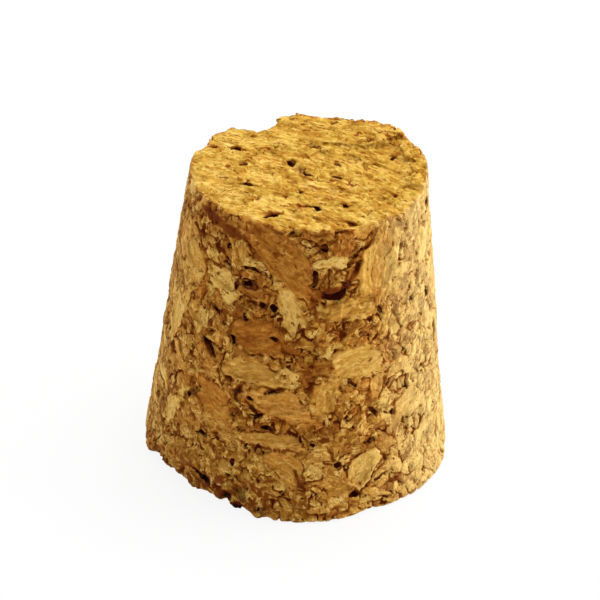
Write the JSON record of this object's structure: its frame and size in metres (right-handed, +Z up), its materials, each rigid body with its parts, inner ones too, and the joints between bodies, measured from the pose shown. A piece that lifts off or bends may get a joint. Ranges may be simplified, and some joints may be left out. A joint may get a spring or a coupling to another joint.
{
  "type": "cork stopper",
  "caption": "Tapered stopper of agglomerated cork, turned from glued granules and sawn off square at both ends, worn at the rims.",
  "frame": {"origin": "centre of the wide sawn end, on the surface that the stopper stands on", "axes": "+Z up the axis to the narrow end; -Y towards the front, where the wide end's rim is worn just to its left; the torn lip is at +X +Y and the gap in the narrow rim at -X +Y"},
  "size_m": [0.0324, 0.0324, 0.0328],
  "materials": {
    "cork": "matt agglomerated cork: ochre to orange-brown granules of 2 to 9 mm with dark cracks and voids between them"
  },
  "bodies": {
    "root": {"stopper": "cork"}
  },
  "joints": []
}
